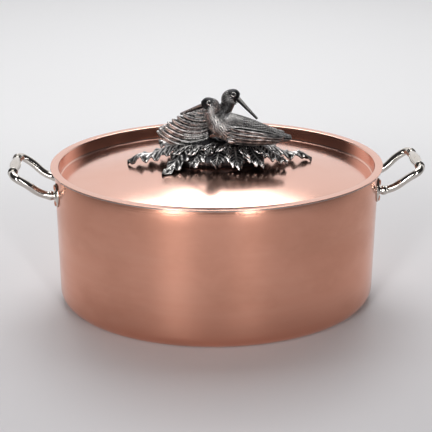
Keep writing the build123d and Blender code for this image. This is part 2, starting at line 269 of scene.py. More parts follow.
class NodeKit:
    """Adds nodes to one node tree."""

    def __init__(self, tree):
        self.tree = tree
        self.tree.nodes.clear()

    def add(self, kind, settings=None, inputs=None, output=0):
        """One node by its type, its settings and its socket values or links; returns an output."""
        node = self.tree.nodes.new("ShaderNode" + kind)
        for key, value in (settings or {}).items():
            setattr(node, key, value)
        for key, value in (inputs or {}).items():
            if isinstance(value, Wire):
                self.tree.links.new(value.socket, node.inputs[key])
            else:
                node.inputs[key].default_value = value
        if not node.outputs:
            return node
        return Wire(self, node.outputs[output])

    def mix(self, share, first, second):
        """A colour mix by share."""
        inputs = {0: share, 6: first, 7: second}
        return self.add("Mix", {"data_type": "RGBA"}, inputs, output=2)

    def place(self, scale=(1.0, 1.0, 1.0), turn=(0.0, 0.0, 0.0)):
        """Object coordinates through a Mapping node."""
        spot = self.add("TexCoord", output=3)
        return self.add("Mapping", None, {0: spot, "Scale": scale, "Rotation": turn})

    def noise(self, vector, scale, detail=3.0, roughness=0.5):
        """Noise strength from 0 to 1."""
        inputs = {"Vector": vector, "Scale": scale, "Detail": detail, "Roughness": roughness}
        return self.add("TexNoise", None, inputs)

    def step(self, value, low, high):
        """A soft step from 0 at low to 1 at high."""
        settings = {"interpolation_type": "SMOOTHSTEP"}
        return self.add("MapRange", settings, {0: value, 1: low, 2: high, 3: 0.0, 4: 1.0})

    def bump(self, height, strength, distance):
        """A normal from a height."""
        return self.add("Bump", None, {"Height": height, "Strength": strength, "Distance": distance})

    def finish(self, inputs):
        """The shader and the material output."""
        shader = self.add("BsdfPrincipled", None, inputs)
        self.add("OutputMaterial", None, {0: shader})


# Fixed colours of the finishes and the studio; the others are settings of the add-on
BRIGHT_COPPER = (0.80, 0.43, 0.31, 1.0)
STAINED_COPPER = (0.62, 0.285, 0.19, 1.0)
LID_CLEAN = (0.80, 0.50, 0.41, 1.0)
LID_HAZED = (0.76, 0.43, 0.33, 1.0)
LID_NICKED = (0.10, 0.05, 0.04, 1.0)
DULL_TIN = (0.46, 0.46, 0.45, 1.0)
DULL_CASTING = (0.42, 0.39, 0.36, 1.0)
DENTED_COPPER = (0.45, 0.19, 0.12, 1.0)
DARK_STEEL = (0.42, 0.42, 0.42, 1.0)
PALE_STEEL = (0.58, 0.58, 0.57, 1.0)
FLOOR_DARK = (0.57, 0.56, 0.575, 1.0)
FLOOR_PALE = (0.61, 0.60, 0.615, 1.0)
# Painted light: the colour the floor turns to towards the back
FLOOR_FAR_PAINTED_LIGHT = (0.97, 0.97, 0.98, 1.0)
STUDIO_PALE = (0.95, 0.94, 0.95, 1.0)
STUDIO_DARK = (0.035, 0.034, 0.036, 1.0)
WHITE = (1.0, 1.0, 1.0, 1.0)


def new_material(name):
    """An empty node material and its kit."""
    material = bpy.data.materials.new(name)
    material.use_nodes = True
    return material, NodeKit(material.node_tree)


def wall_copper(kit, settings):
    """Copper brushed round the pot, with soft stains and a few scratches."""
    streaks = kit.noise(kit.place((3.0, 3.0, 900.0)), 1.0, 4.0, 0.6)
    bands = kit.noise(kit.place((4.0, 4.0, 90.0)), 1.0, 3.0, 0.6)
    stains = kit.noise(kit.place((1.0, 1.0, 1.3), (0.3, 0.5, 0.0)), 11.0, 5.0, 0.62)
    cloud = kit.step(stains, 0.42, 0.66)
    deep = kit.step(bands, 0.35, 0.7)
    clean = kit.mix(deep * 0.35, settings.copper, BRIGHT_COPPER)
    colour = kit.mix(cloud * 0.5, clean, STAINED_COPPER)
    rough = 0.15 + 0.05 * streaks + 0.07 * cloud
    normal = kit.bump(streaks * 0.7 + bands * 0.5, 0.22, 0.0006)
    return colour, rough, normal


def lid_copper(kit, _settings):
    """Polished copper with faint haze, small nicks and rubbed marks."""
    haze = kit.noise(kit.place((1.0, 1.6, 1.0)), 9.0, 5.0, 0.6)
    rubs = kit.noise(kit.place((30.0, 5.0, 5.0), (0.0, 0.0, 0.35)), 1.0, 4.0, 0.7)
    nicks = kit.noise(kit.place((1.0, 2.2, 1.0)), 46.0, 1.0, 0.4)
    cloud = kit.step(haze, 0.45, 0.65)
    nick = kit.step(nicks, 0.80, 0.82)
    warm = kit.mix(cloud * 0.35, LID_CLEAN, LID_HAZED)
    colour = kit.mix(nick, warm, LID_NICKED)
    rough = 0.16 + 0.05 * cloud + 0.03 * rubs
    normal = kit.bump(rubs, 0.04, 0.0004)
    return colour, rough, normal


def wiped_tin(kit, settings):
    """Hand-wiped tin with broad soft strokes."""
    strokes = kit.noise(kit.place((18.0, 18.0, 60.0)), 1.0, 4.0, 0.6)
    dull = kit.noise(kit.place(), 25.0, 4.0, 0.55)
    colour = kit.mix(kit.step(dull, 0.4, 0.7), settings.tin, DULL_TIN)
    rough = 0.28 + 0.15 * strokes
    normal = kit.bump(strokes, 0.15, 0.0006)
    return colour, rough, normal


def cast_metal(kit, settings):
    """Polished white metal with tiny casting waves and dull spots."""
    waves = kit.noise(kit.place(), 160.0, 2.0, 0.5)
    dull = kit.noise(kit.place(), 420.0, 3.0, 0.6)
    spots = kit.step(dull, 0.55, 0.75)
    colour = kit.mix(spots * 0.5, settings.handle_metal, DULL_CASTING)
    rough = 0.10 + 0.12 * spots
    normal = kit.bump(waves, 0.12, 0.0008)
    return colour, rough, normal


def oxidised_silver_and_shade(kit, settings):
    """Oxidised casting: black in the hollows, rubbed bright on ridges and tips; the black is partly real
    oxide and partly painted shade in hollows, undersides and feather roots.
    """
    # Low relief gives the dark colour: real oxide plus painted shade; high relief gives rubbed silver
    relief = kit.add("Attribute", {"attribute_name": "relief"}, output=2)
    grain = kit.noise(kit.place(), 900.0, 3.0, 0.6)
    patches = kit.noise(kit.place(), 70.0, 3.0, 0.6)
    rubbed = kit.step(relief + 0.35 * grain + 0.45 * patches, 0.70, 1.25)
    colour = kit.mix(rubbed, settings.oxide_and_shade, settings.rubbed_silver)
    rough = 0.42 - 0.17 * rubbed
    normal = kit.bump(grain + patches * 0.6, 0.25, 0.0005)
    return colour, rough, normal


def hammered_copper(kit, settings):
    """Small hammered rivet heads."""
    dents = kit.noise(kit.place(), 500.0, 2.0, 0.5)
    colour = kit.mix(kit.step(dents, 0.4, 0.7), settings.copper, DENTED_COPPER)
    normal = kit.bump(dents, 0.3, 0.0005)
    rough = 0.22 + 0.1 * dents
    return colour, rough, normal


def plain_steel(kit, _settings):
    """Turned steel of the studs, washers and nuts."""
    marks = kit.noise(kit.place((200.0, 200.0, 1500.0)), 1.0, 3.0, 0.6)
    colour = kit.mix(marks, DARK_STEEL, PALE_STEEL)
    rough = 0.3 + 0.15 * marks
    return colour, rough


FINISHES = (
    wall_copper,
    lid_copper,
    wiped_tin,
    cast_metal,
    oxidised_silver_and_shade,
    hammered_copper,
    plain_steel,
)


def material_for(context, name):
    """The named metal finish, made on first use; a finish may leave out its normal."""
    known = bpy.data.materials.get(name)
    if known:
        return known
    maker = next(finish for finish in FINISHES if finish.__name__ == name)
    material, kit = new_material(name)
    parts = zip(("Base Color", "Roughness", "Normal"), maker(kit, context.scene.pot_finish))
    kit.finish({"Metallic": 1.0, **dict(parts)})
    return material


def dress_node(context, node, finish):
    """Gives a CAD node its finish."""
    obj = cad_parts[node]
    obj.data.materials.clear()
    obj.data.materials.append(material_for(context, finish))


def settle(obj, body, node):
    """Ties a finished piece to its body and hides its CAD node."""
    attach(obj, body)
    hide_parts(node)


# Pot and lid shells

WALL_SEGMENTS = 288
WALL_STEPS = 8
FLOOR_SHARES = (0.7, 0.4, 0.15, 0.0)
LIP_DROP = 1.0 * MM
LIP_TURN_OUT = 0.4 * MM
LIP_TURN_IN = 0.2 * MM
TIN = 0.4 * MM
LID_TIN = 0.3 * MM
SKIRT_OUT = -(SHEET + 0.8 * MM) - LID_TIN
LID_SHEET = 1.0 * MM
LID_BEND = 1.6 * MM
LID_ROOT = 2.2 * MM
LID_ROOT_TURN = -78.0
LID_ROOT_LIFT = 0.4 * MM
LID_SKIRT_END = 1.0 * MM
PLATE_EDGE = RIM_Z - 12.2 * MM
PLATE_STEPS = 28
DOME_RISE = 18.0 * MM
DOME_REACH = HALF_LENGTH + SKIRT_OUT
DOME_BALL = (DOME_REACH**2 + DOME_RISE**2) / (2.0 * DOME_RISE)


def dome_height(share):
    """Height of the lid plate's top face at a share of the way out to the skirt."""
    reach = share * DOME_REACH
    return PLATE_EDGE + DOME_RISE - (DOME_BALL - math.sqrt(DOME_BALL**2 - reach**2))


def plate_height(x, y):
    """Height of the lid plate's top face over a point."""
    along = x / DOME_REACH
    across = y / (HALF_WIDTH + SKIRT_OUT)
    return dome_height(math.hypot(along, across))


def plate_rows(offset, start):
    """Profile points of the domed plate from a share outwards in to the middle."""
    rows = []
    for inward in shares(PLATE_STEPS):
        share = start * (1.0 - inward)
        rows.append((offset, dome_height(share), share))
    return rows


def pot_profile(offset, floor, radius):
    """Outer face of a vessel from its rim down to the middle of its floor."""
    rows = []
    for share in shares(WALL_STEPS):
        height = blend(RIM_Z - LIP_DROP, floor + radius, share)
        rows.append((offset, height, 1.0))
    rows += arc_points(offset - radius, floor + radius, radius, 0.0, -90.0, 12)[1:]
    for share in FLOOR_SHARES:
        rows.append((offset - radius, floor, share))
    return rows


def vessel_shell(name, outer, inner, thickness, floor, radius, material):
    """A closed vessel wall between an outer offset and an inner one."""
    outside = pot_profile(outer, floor, radius)
    inside = pot_profile(inner, floor + thickness, radius - thickness)
    turn_in = LIP_TURN_IN if thickness > TIN else 0.0
    lip = [(outer - LIP_TURN_OUT, RIM_Z, 1.0), (inner + turn_in, RIM_Z, 1.0)]
    return oval_shell(name, outside[::-1] + lip + inside, WALL_SEGMENTS, material)


def build_pot(context):
    """The copper vessel and its tin coat."""
    radius = context.scene.pot_finish.corner_radius
    copper = material_for(context, "wall_copper")
    body = vessel_shell("pot_wall", 0.0, -SHEET, SHEET, 0.0, radius, copper)
    settle(body, "pot", "pot_body")
    tin = material_for(context, "wiped_tin")
    coat = vessel_shell("tin_coat", -SHEET, -SHEET - TIN, TIN, SHEET, radius - SHEET, tin)
    settle(coat, "pot", "pot_lining")


def build_lid(context):
    """The copper lid pan and its tin coat."""
    base = RIM_Z + LID_TIN
    top = base + LID_SHEET
    edge = 0.5 * LID_SHEET
    inner = SKIRT_OUT - LID_SHEET
    rows = arc_points(OVERHANG - edge, base + edge, edge, -90.0, 90.0, 8)
    rows += arc_points(inner + LID_BEND, top - LID_BEND, LID_BEND, 90.0, 180.0, 6)
    rows.append((inner, PLATE_EDGE + LID_ROOT + LID_SKIRT_END, 1.0))
    root_z = PLATE_EDGE + LID_ROOT + LID_ROOT_LIFT
    rows += arc_points(inner - LID_ROOT, root_z, LID_ROOT, 0.0, LID_ROOT_TURN, 6)
    start = (HALF_LENGTH + inner - LID_ROOT) / DOME_REACH - 0.004
    rows += plate_rows(SKIRT_OUT, start)
    under = [(offset, z - LID_SHEET, share) for offset, z, share in plate_rows(SKIRT_OUT, 0.995)]
    under.reverse()
    under.append((SKIRT_OUT, PLATE_EDGE - 0.6 * LID_SHEET, 1.0))
    under.append((SKIRT_OUT, base - 0.1 * MM, 1.0))
    copper = material_for(context, "lid_copper")
    pan = oval_shell("lid_copper_pan", under + rows, WALL_SEGMENTS, copper)
    settle(pan, "lid", "lid_pan")
    dress_node(context, "lid_lining", "wiped_tin")


# Handles

FOOT_SPREAD = 24.0 * MM
FOOT_Z = RIM_Z - 21.0 * MM
GRIP_X = GRIP_HIGH[0] - 5.2 * MM
GRIP_Z = FOOT_Z + 21.0 * MM
GRIP_END = 20.0 * MM
LEG_RADIUS = 3.4 * MM
GRIP_RADIUS = 5.2 * MM
COLLAR_RADIUS = 4.5 * MM
COLLAR_HALF = 0.95 * MM
COLLAR_STEP = 2.8 * MM
PLATE_HALF_HEIGHT = 12.0 * MM
PLATE_HALF_WIDTH = 7.5 * MM
PLATE_EDGE_THICKNESS = 1.5 * MM
PLATE_CROWN = 1.1 * MM
PLATE_GRID = (28, 14)
PLATE_TIP = 0.985
PLATE_POINT = 1.8
PLATE_FULLNESS = 0.85
PLATE_RIM = (6.0, 9.0)
PLATE_RIM_SHARE = 0.55
RIVET_SPREAD = 7.6 * MM
RIVET_SHANK = 1.7 * MM
RIVET_HEAD = 2.9 * MM
RIVET_RISE = 1.0 * MM
RIVET_SINK = 0.4 * MM
RIVET_PLACE = 0.55
RIVET_SIDES = 24
RIVET_STEPS = 8
TUBE_SIDES = 28
LEG_STEPS = 60
GRIP_STEPS = 130
SIDES = (("right", 1), ("left", -1))

# A leg's knuckle by the foot plate, the flare into the plate and the swell half-way
KNUCKLE_PLACE = 0.13
KNUCKLE_REACH = 0.035
KNUCKLE_RISE = 1.1 * MM
FLARE_REACH = 0.11
FLARE_RISE = 1.2 * MM
SWELL_RISE = 0.35 * MM


def wall_frame(y):
    """Point and outward normal of the pot's wall on the +X side at a given Y."""
    x = HALF_LENGTH * math.sqrt(1.0 - (y / HALF_WIDTH) ** 2)
    normal = Vector((x / HALF_LENGTH**2, y / HALF_WIDTH**2, 0.0)).normalized()
    return Vector((x, y, 0.0)), normal


def leg_stations():
    """Centre line of the leg on the +Y side, from inside its foot plate to the grip."""
    foot_x = wall_frame(FOOT_SPREAD)[0].x
    return [
        (foot_x - 1.0 * MM, FOOT_SPREAD, FOOT_Z),
        (foot_x + 8.0 * MM, FOOT_SPREAD + 0.4 * MM, FOOT_Z + 0.2 * MM),
        (foot_x + 17.0 * MM, FOOT_SPREAD + 2.0 * MM, FOOT_Z + 4.4 * MM),
        (foot_x + 26.5 * MM, FOOT_SPREAD + 4.2 * MM, FOOT_Z + 12.6 * MM),
        (GRIP_X - 4.6 * MM, FOOT_SPREAD + 4.6 * MM, GRIP_Z - 2.6 * MM),
        (GRIP_X - 0.6 * MM, GRIP_END + 4.6 * MM, GRIP_Z - 0.3 * MM),
        (GRIP_X, GRIP_END, GRIP_Z),
    ]


def grip_radius(y):
    """Radius of the spindle grip and its ring collars at a distance along it."""
    along = abs(y) / GRIP_END
    radius = blend(GRIP_RADIUS, LEG_RADIUS, smooth_step(0.0, 1.0, along) ** 0.9)
    for row in (0, 1):
        away = (abs(y) - GRIP_END + row * COLLAR_STEP) / COLLAR_HALF
        if abs(away) < 1.0:
            ring = LEG_RADIUS + (COLLAR_RADIUS - LEG_RADIUS) * math.sqrt(1.0 - away * away)
            radius = max(radius, ring)
    return radius


def leg_radius(share):
    """Radius of a leg: a knuckle by the foot plate, then a slim round bar."""
    knuckle = math.exp(-(((share - KNUCKLE_PLACE) / KNUCKLE_REACH) ** 2)) * KNUCKLE_RISE
    flare = (1.0 - smooth_step(0.0, FLARE_REACH, share)) * FLARE_RISE
    swell = math.sin(math.pi * share) * SWELL_RISE
    return LEG_RADIUS + knuckle + flare + swell


def handle_line():
    """Points and radii of the whole loop, from one foot to the other."""
    stations = leg_stations()
    leg = []
    for share in shares(LEG_STEPS):
        x, y, z = curve_value(stations, share)
        leg.append((Vector((x, y, z)), leg_radius(share)))
    grip = []
    for share in shares(GRIP_STEPS)[1:-1]:
        y = blend(GRIP_END, -GRIP_END, share)
        grip.append((Vector((GRIP_X, y, GRIP_Z)), grip_radius(y)))
    other = [(Vector((p.x, -p.y, p.z)), r) for p, r in reversed(leg)]
    leg[-1] = (leg[-1][0], grip_radius(GRIP_END))
    other[0] = (other[0][0], grip_radius(GRIP_END))
    return leg + grip + other


def add_tube(form, line, sides):
    """A closed round tube along (point, radius) pairs."""
    across = Vector((0.0, 0.0, 1.0))
    first = len(form.points)
    for index, (centre, radius) in enumerate(line):
        before = line[max(index - 1, 0)][0]
        after = line[min(index + 1, len(line) - 1)][0]
        along = (after - before).normalized()
        across = square_to(across, along)
        side = along.cross(across)
        for angle in turns(sides):
            spread = across * math.cos(angle) + side * math.sin(angle)
            form.points.append(centre + spread * radius)
    close_rings(form, first, sides)


def add_foot_plate(form, side):
    """A pointed oval plate that hugs the wall, thin at its edge and crowned in the middle."""
    rows, columns = PLATE_GRID
    start = len(form.points)
    for layer in (0, 1):
        for row in shares(rows):
            up = blend(-PLATE_TIP, PLATE_TIP, row)
            width = PLATE_HALF_WIDTH * (1.0 - abs(up) ** PLATE_POINT) ** PLATE_FULLNESS
            for column in shares(columns):
                across = blend(-1.0, 1.0, column)
                wall, normal = wall_frame(side * FOOT_SPREAD + across * width)
                rim = min(1.0, PLATE_RIM[0] * (1.0 - abs(across)))
                rim *= min(1.0, PLATE_RIM[1] * (1.0 - abs(up)))
                crown = (1.0 - across * across) * (1.0 - up * up)
                edge = PLATE_EDGE_THICKNESS * blend(PLATE_RIM_SHARE, 1.0, math.sqrt(rim))
                out = (edge + PLATE_CROWN * crown) if layer else 0.0
                spot = wall + normal * out
                spot.z = FOOT_Z + up * PLATE_HALF_HEIGHT
                form.points.append(spot)
    close_sheet(form.faces, start, rows, columns)


def build_handles(context):
    """Both cast handles with their collars, knuckles and foot plates."""
    finish = material_for(context, "cast_metal")
    form = Form()
    add_tube(form, handle_line(), TUBE_SIDES)
    for side in (-1, 1):
        add_foot_plate(form, side)
    for word, flip in SIDES:
        spots = [(flip * p.x, p.y, p.z) for p in form.points]
        handle = mesh_object("cast_handle_" + word, spots, form.faces, finish)
        recalculate(handle)
        settle(handle, "pot", word + "_handle")


# Geometry Nodes helpers


def socket_id(tree, name):
    """Identifier of a named group input."""
    for item in tree.interface.items_tree:
        if item.name == name and item.in_out == "INPUT":
            return item.identifier
    raise RuntimeError("no input named " + name)


def new_tree(name, inputs):
    """An empty Geometry Nodes tree with a geometry input, named inputs and a geometry output."""
    tree = bpy.data.node_groups.new(name, "GeometryNodeTree")
    tree.interface.new_socket("Geometry", in_out="INPUT", socket_type="NodeSocketGeometry")
    for label, kind in inputs:
        tree.interface.new_socket(label, in_out="INPUT", socket_type=kind)
    tree.interface.new_socket("Geometry", in_out="OUTPUT", socket_type="NodeSocketGeometry")
    return tree


def guided_copies_tree():
    """Copies of one piece on guide points, turned and sized by the points' own attributes."""
    inputs = [
        ("Piece", "NodeSocketObject"),
        ("Finish", "NodeSocketMaterial"),
        ("Overall Size", "NodeSocketFloat"),
    ]
    tree = new_tree("guided_copies", inputs)
    add = tree.nodes.new
    entry = add("NodeGroupInput")
    leave = add("NodeGroupOutput")
    piece = add("GeometryNodeObjectInfo")
    turn = add("GeometryNodeInputNamedAttribute")
    size = add("GeometryNodeInputNamedAttribute")
    for node, label in ((turn, "turn"), (size, "size")):
        node.data_type = "FLOAT_VECTOR"
        node.inputs[0].default_value = label
    rotation = add("FunctionNodeEulerToRotation")
    whole = add("ShaderNodeVectorMath")
    whole.operation = "SCALE"
    copies = add("GeometryNodeInstanceOnPoints")
    real = add("GeometryNodeRealizeInstances")
    paint = add("GeometryNodeSetMaterial")
    for source, out, target, socket in (
        (entry, "Piece", piece, "Object"),
        (turn, "Attribute", rotation, 0),
        (size, "Attribute", whole, 0),
        (entry, "Overall Size", whole, "Scale"),
        (entry, "Geometry", copies, "Points"),
        (piece, "Geometry", copies, "Instance"),
        (rotation, 0, copies, "Rotation"),
        (whole, 0, copies, "Scale"),
        (copies, 0, real, 0),
        (real, 0, paint, "Geometry"),
        (entry, "Finish", paint, "Material"),
        (paint, 0, leave, 0),
    ):
        tree.links.new(source.outputs[out], target.inputs[socket])
    return tree


def copies_on_guides(name, guides, piece, material):
    """A plain mesh of copies of piece on guides of (point, direction, normal, size)."""
    tree = bpy.data.node_groups.get("guided_copies") or guided_copies_tree()
    mesh = bpy.data.meshes.new(name + "_guides")
    mesh.from_pydata([tuple(g[0]) for g in guides], [], [])
    headings = mesh.attributes.new("turn", "FLOAT_VECTOR", "POINT")
    sizes = mesh.attributes.new("size", "FLOAT_VECTOR", "POINT")
    for index, (_, direction, normal, size) in enumerate(guides):
        along = Vector(direction).normalized()
        up = square_to(Vector(normal), along)
        headings.data[index].vector = Matrix((along, up.cross(along), up)).transposed().to_euler()
        sizes.data[index].vector = size
    holder = bpy.data.objects.new(name + "_guides", mesh)
    link_object(holder)
    modifier = holder.modifiers.new("copies", "NODES")
    modifier.node_group = tree
    modifier[socket_id(tree, "Piece")] = piece
    modifier[socket_id(tree, "Finish")] = material
    modifier[socket_id(tree, "Overall Size")] = 1.0
    bpy.context.view_layer.update()
    graph = bpy.context.evaluated_depsgraph_get()
    result = bpy.data.meshes.new_from_object(holder.evaluated_get(graph))
    bpy.data.objects.remove(holder)
    result.name = name
    result.shade_smooth()
    if not result.materials:
        result.materials.append(material)
    return result


def rivet_pattern():
    """One rivet along +Z: a shank that reaches through the wall and a low domed head."""
    form = Form()
    crown = PLATE_EDGE_THICKNESS + PLATE_CROWN * RIVET_PLACE
    seat = crown - RIVET_SINK
    line = [(-(SHEET + TIN), RIVET_SHANK), (seat, RIVET_SHANK), (seat, RIVET_HEAD)]
    for share in shares(RIVET_STEPS)[1:-1]:
        angle = math.pi / 2 * share
        line.append((crown + RIVET_RISE * math.sin(angle), RIVET_HEAD * math.cos(angle)))
    sides = RIVET_SIDES
    for height, radius in line:
        for angle in turns(sides):
            form.points.append((radius * math.cos(angle), radius * math.sin(angle), height))
    close_rings(form, 0, sides)
    return form


def build_rivets(context):
    """Copper rivets through each foot plate, above and below the leg."""
    finish = material_for(context, "hammered_copper")
    pattern = rivet_pattern().obj("rivet_pattern", finish)
    for word, flip in SIDES:
        guides = []
        for side in (-1, 1):
            wall, normal = wall_frame(side * FOOT_SPREAD)
            for up in (-1, 1):
                spot = (flip * wall.x, wall.y, FOOT_Z + up * RIVET_SPREAD)
                outward = Vector((flip * normal.x, normal.y, 0.0))
                guides.append((spot, (0.0, 0.0, 1.0), outward, (1.0, 1.0, 1.0)))
        name = "rivets_" + word
        rivets = bpy.data.objects.new(name, copies_on_guides(name, guides, pattern, finish))
        link_object(rivets)
        settle(rivets, "pot", word + "_handle_rivets")
    bpy.data.objects.remove(pattern)


# Leaf bed of the finial

SEAT = 0.15 * MM
LEAF_SHEET = 1.5 * MM
LEAF_GRID = (64, 20)
LEAF_CURL = 2.2 * MM
SMALL_LEAF_LOBES = 2
SMALL_LEAF_CURL = 1.0 * MM
VEIN_HEIGHT = 0.9 * MM
VEINS_A_LOBE = 2.0
VEIN_SLANT = 0.9
MIDRIB_HALF = 0.13
LOBE_DEPTH = 0.26
LOBE_SHIFT = 0.18
TEETH_A_LOBE = 3.0
TOOTH_DEPTH = 0.10
LEAF_TAPER = 0.25
LEAF_SWAY = 0.05
LEAF_CUP = 0.10
FRILL_TURN = 6.283

# The mound under the leaves, before its rough grain; its middle lies forward of the lid's
MOUND_SHIFT = 6.0 * MM
MOUND_REACH = (45.0 * MM, 24.0 * MM)
MOUND_EDGE = (44.0 * MM, 23.0 * MM)
MOUND_RISE = 20.5 * MM
MOUND_RIPPLE = 1.6 * MM
MOUND_ROWS = 40
MOUND_SPOKES = 120

# Start x, start y, direction in degrees, length, width, lobes, rise along the leaf; millimetres
LEAVES = [
    (-30, -5, 177, 54, 25, 5, (15, 14, 10, 7, 8, 3)),
    (-24, -12, 221, 38, 20, 4, (15, 14, 10, 5, 2.5, 0.8)),
    (-14, -13, 242, 25, 20, 4, (15, 14, 11, 7.5, 5)),
    (0, -13, 266, 24, 21, 5, (15, 14, 11, 7.5, 5.5)),
    (14, -13, 280, 25, 22, 5, (15, 14, 11, 7, 4.5)),
    (27, -12, 298, 27, 22, 5, (15, 14, 11, 8, 6)),
    (36, -9, 328, 32, 20, 5, (15, 14, 11, 8, 6)),
    (32, -3, 2, 58, 20, 5, (16, 14, 10, 6, 7, 1.5)),
    (22, 2, 55, 36, 22, 4, (15, 13, 9, 5, 2)),
    (0, 4, 88, 30, 24, 4, (15, 13, 9, 5, 2)),
    (-24, 3, 150, 35, 22, 4, (15, 13, 11, 10, 12)),
]

# Small leaves lying over the mound: x, y, direction, length, width, height over the dome
SMALL_LEAVES = [
    (-24, -15, 196, 19, 9, 15),
    (-14, -18, 212, 17, 9, 16),
    (-5, -18, 250, 15, 9, 17),
    (0, -19, 190, 20, 8, 18),
    (7, -19, 282, 15, 9, 17),
    (12, -20, 200, 16, 8, 18),
    (19, -19, 304, 16, 9, 16),
    (30, -17, 330, 18, 9, 15),
    (40, -10, 350, 18, 8, 12),
    (-36, -6, 190, 18, 8, 12),
    (-30, 6, 160, 16, 9, 14),
    (10, 10, 60, 16, 9, 15),
    (-10, 10, 110, 16, 9, 15),
    (30, 6, 30, 16, 9, 14),
]


def leaf_half_width(share, lobes, side):
    """Half width of a leaf at a share of its length, with lobes and saw teeth."""
    swell = math.sin(math.pi * min(1.0, share**0.72)) ** 0.7
    wave = math.pi * (lobes * share + LOBE_SHIFT * side)
    lobe = 1.0 - LOBE_DEPTH * (1.0 - abs(math.sin(wave)))
    tooth = 1.0 + TOOTH_DEPTH * abs(math.sin(TEETH_A_LOBE * wave))
    return swell * lobe * tooth * (1.0 - LEAF_TAPER * share)


def leaf_relief(share, across, lobes):
    """Height of midrib and side veins, from 0 in the hollows to 1 on the ridges."""
    midrib = math.exp(-((across / MIDRIB_HALF) ** 2))
    slant = share * lobes * VEINS_A_LOBE - abs(across) * VEIN_SLANT
    vein = 0.5 + 0.5 * math.cos(2.0 * math.pi * slant)
    return max(midrib, 0.8 * vein**2 * smooth_step(0.05, 0.3, abs(across)))


def leaf_sheet(form, spot, shape, rise_at, curl):
    """One curled leaf as a closed thin sheet.

    spot is (x, y, direction), shape is (length, width, lobes); rise_at gives its height over the lid.
    """
    x, y, turn = spot
    length, width, lobes = shape
    rows, columns = LEAF_GRID
    along = Vector((math.cos(turn), math.sin(turn), 0.0))
    aside = Vector((-along.y, along.x, 0.0))
    start = len(form.points)
    top = []
    for share in shares(rows):
        for column in shares(columns):
            across = blend(-1.0, 1.0, column)
            half = 0.5 * width * leaf_half_width(share, lobes, math.copysign(1.0, across))
            wander = LEAF_SWAY * length * math.sin(share * 5.0 + x * 90.0)
            place = Vector((x, y, 0.0)) + along * (share * length) + aside * (across * half + wander * share)
            height = leaf_relief(share, across, lobes)
            frill = curl * abs(across) ** 3 * math.sin(share * lobes * FRILL_TURN + across * 2.0)
            cup = -LEAF_CUP * width * across * across
            rise = rise_at(share) + height * VEIN_HEIGHT + frill + cup
            place.z = plate_height(place.x, place.y) + max(rise, SEAT + LEAF_SHEET)
            top.append(place)
            edge = abs(across) ** 6
            # Low relief in the hollows between veins gives oxide and painted shade; veins, edges and tips
            # stay high for rubbed silver
            form.relief.append(min(1.0, 0.25 + 0.55 * height + 0.35 * edge + 0.25 * share**3))
    form.points += top
    for place in top:
        under = place.copy()
        under.z -= LEAF_SHEET
        form.points.append(under)
    form.fill(UNDERSIDE_OXIDE_AND_SHADE)
    close_sheet(form.faces, start, rows, columns)


def mound_height(x, y):
    """Height of the mound's top over a point."""
    reach = math.hypot(x / MOUND_REACH[0], (y + MOUND_SHIFT) / MOUND_REACH[1])
    crown = math.sqrt(max(0.0, 1.0 - reach * reach)) * MOUND_RISE
    ripple = noise.noise(Vector((x, y, 0.0)) * 260.0) * MOUND_RIPPLE
    return plate_height(0.0, 0.0) + crown + ripple * smooth_step(0.0, 4.0 * MM, crown)


def add_mound(form):
    """The rough core under the leaves, closed on the underside just over the lid."""
    start = len(form.points)
    for layer in (0, 1):
        for share in shares(MOUND_ROWS):
            for angle in turns(MOUND_SPOKES):
                x = share * MOUND_EDGE[0] * math.cos(angle)
                y = share * MOUND_EDGE[1] * math.sin(angle) - MOUND_SHIFT
                low = plate_height(x, y) + SEAT
                high = max(low + 0.5 * MM, mound_height(x, y) - 0.8 * MM)
                form.points.append((x, y, low if layer else high))
                rough = noise.noise(Vector((x, y, 0.1)) * 420.0)
                form.relief.append(0.25 + 0.3 * rough)
    rim = start + MOUND_ROWS * MOUND_SPOKES
    sheet = (MOUND_ROWS + 1) * MOUND_SPOKES
    for top in (start, start + sheet):
        for low in range(top, top + MOUND_ROWS * MOUND_SPOKES, MOUND_SPOKES):
            ring_faces(form.faces, low, low + MOUND_SPOKES, MOUND_SPOKES)
    ring_faces(form.faces, rim, rim + sheet, MOUND_SPOKES)


def build_leaves(context):
    """The cast bed of curled leaves under the birds."""
    form = Form()
    add_mound(form)
    for x, y, turn, length, width, lobes, rises in LEAVES:
        stations = [(rise * MM,) for rise in rises]
        spot = (x * MM, y * MM, math.radians(turn))
        shape = (length * MM, width * MM, lobes)
        leaf_sheet(form, spot, shape, lambda share: curve_value(stations, share)[0] + LEAF_SHEET, LEAF_CURL)
    for x, y, turn, length, width, height in SMALL_LEAVES:
        spot = (x * MM, y * MM, math.radians(turn))
        shape = (length * MM, width * MM, SMALL_LEAF_LOBES)
        leaf_sheet(form, spot, shape, lambda share: (height + 2.0 - 5.0 * share**2) * MM, SMALL_LEAF_CURL)
    bed = form.obj("leaf_bed", material_for(context, "oxidised_silver_and_shade"))
    recalculate(bed)
    settle(bed, "lid", "finial_leaf_base")


# Birds

